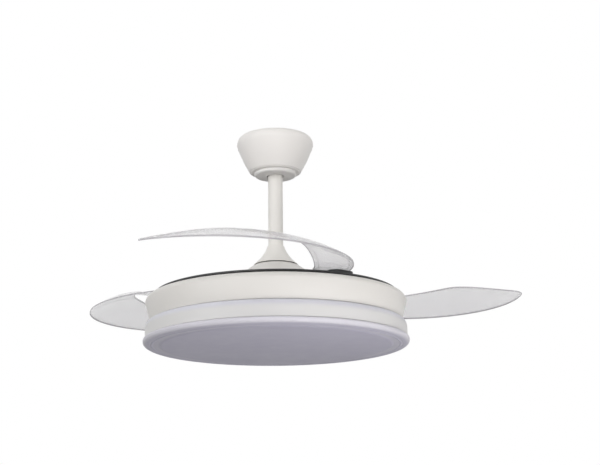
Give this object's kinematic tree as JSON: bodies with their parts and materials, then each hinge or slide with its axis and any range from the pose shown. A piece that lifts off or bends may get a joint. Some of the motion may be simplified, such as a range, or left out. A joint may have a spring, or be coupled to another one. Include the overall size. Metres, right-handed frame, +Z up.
{
  "type": "retractable blade ceiling fan",
  "caption": "Ceiling fan on a short rod with clear blades that swing out over a tapered white drum, and a round opal lamp below.",
  "frame": {"origin": "middle of the bracket face that is screwed to the ceiling", "axes": "+Z up along the down rod; +X to the right and -Y toward the viewer of the picture"},
  "size_m": [0.8495, 0.8538, 0.4131],
  "materials": {
    "white_paint": "satin white paint",
    "white_plastic": "smooth white plastic",
    "zinc_steel": "zinc-plated sheet steel",
    "bright_steel": "bright steel",
    "black_plastic": "black moulded plastic",
    "black_steel": "satin black paint",
    "motor_casting": "die-cast aluminium",
    "laminations": "steel laminations",
    "copper_wire": "enamelled copper wire",
    "magnet": "ferrite",
    "clear_acrylic": "clear polycarbonate with a faint violet tint",
    "nylon": "natural nylon",
    "lamp_white": "matt white",
    "opal_acrylic": "opal acrylic, unlit",
    "lead_sheath": "grey sheath"
  },
  "bodies": {
    "ceiling_mount": {"hanger_bracket": "zinc_steel", "canopy": "white_paint", "canopy_ring": "white_plastic", "canopy_screw_left": "bright_steel", "canopy_screw_right": "bright_steel", "receiver_box": "white_plastic"},
    "hanging_drum": {"hanger_ball": "black_plastic", "hanger_ball_pin": "bright_steel", "down_rod": "white_paint", "lead_cable": "lead_sheath", "motor_yoke": "zinc_steel", "yoke_set_screw": "bright_steel", "clevis_pin": "bright_steel", "clevis_pin_clip": "bright_steel", "coupling_bell": "white_paint", "motor_shaft": "bright_steel", "shaft_nut": "bright_steel", "stator_core": "laminations", "stator_winding": "copper_wire", "upper_housing": "white_paint", "chassis_plate": "zinc_steel", "lower_ring": "white_paint", "led_pan": "lamp_white", "led_board": "lamp_white", "led_driver": "white_plastic", "terminal_block": "nylon", "housing_screw_1": "bright_steel", "housing_screw_2": "bright_steel", "housing_screw_3": "bright_steel", "pan_screw_1": "bright_steel", "pan_screw_2": "bright_steel", "pan_screw_3": "bright_steel"},
    "rotor": {"upper_bearing": "bright_steel", "lower_bearing": "bright_steel", "rotor_top_cover": "motor_casting", "rotor_bottom_cover": "motor_casting", "magnet_ring": "magnet", "rotor_disc": "black_steel", "dome_cover": "white_paint", "dome_screw_1": "bright_steel", "dome_screw_2": "bright_steel", "dome_screw_3": "bright_steel", "blade_bracket_1": "black_plastic", "blade_bracket_2": "black_plastic", "blade_bracket_3": "black_plastic", "pivot_pin_1": "bright_steel", "pivot_pin_2": "bright_steel", "pivot_pin_3": "bright_steel", "pivot_spring_1": "bright_steel", "pivot_spring_2": "bright_steel", "pivot_spring_3": "bright_steel"},
    "lamp_cover": {"diffuser": "opal_acrylic"},
    "blade_1_body": {"blade_1": "clear_acrylic", "pivot_bush_1": "nylon"},
    "blade_2_body": {"blade_2": "clear_acrylic", "pivot_bush_2": "nylon"},
    "blade_3_body": {"blade_3": "clear_acrylic", "pivot_bush_3": "nylon"}
  },
  "joints": [
    {"name": "ball_tilt", "type": "hinge", "parent": "ceiling_mount", "child": "hanging_drum", "pos_m": [0, 0, -0.046], "axis": [1, 0, 0], "range_deg": [-3, 3]},
    {"name": "rotor_spin", "type": "hinge", "parent": "hanging_drum", "child": "rotor", "pos_m": [0, 0, -0.33], "axis": [0, 0, 1], "continuous": true},
    {"name": "lamp_cover_twist", "type": "hinge", "parent": "hanging_drum", "child": "lamp_cover", "pos_m": [0, 0, -0.4], "axis": [0, 0, 1], "range_deg": [0, 30]},
    {"name": "blade_1_swing", "type": "hinge", "parent": "rotor", "child": "blade_1_body", "pos_m": [0.11234, -0.17979, -0.3156], "axis": [0.0166, -0.0266, 0.9995], "range_deg": [-70.6, 21], "stiffness_Nm_per_rad": 0.05},
    {"name": "blade_2_swing", "type": "hinge", "parent": "rotor", "child": "blade_2_body", "pos_m": [0.09953, 0.18718, -0.3156], "axis": [0.0147, 0.0277, 0.9995], "range_deg": [-70.6, 21], "stiffness_Nm_per_rad": 0.05},
    {"name": "blade_3_swing", "type": "hinge", "parent": "rotor", "child": "blade_3_body", "pos_m": [-0.21187, -0.0074, -0.3156], "axis": [-0.0314, -0.0011, 0.9995], "range_deg": [-70.6, 21], "stiffness_Nm_per_rad": 0.05}
  ]
}
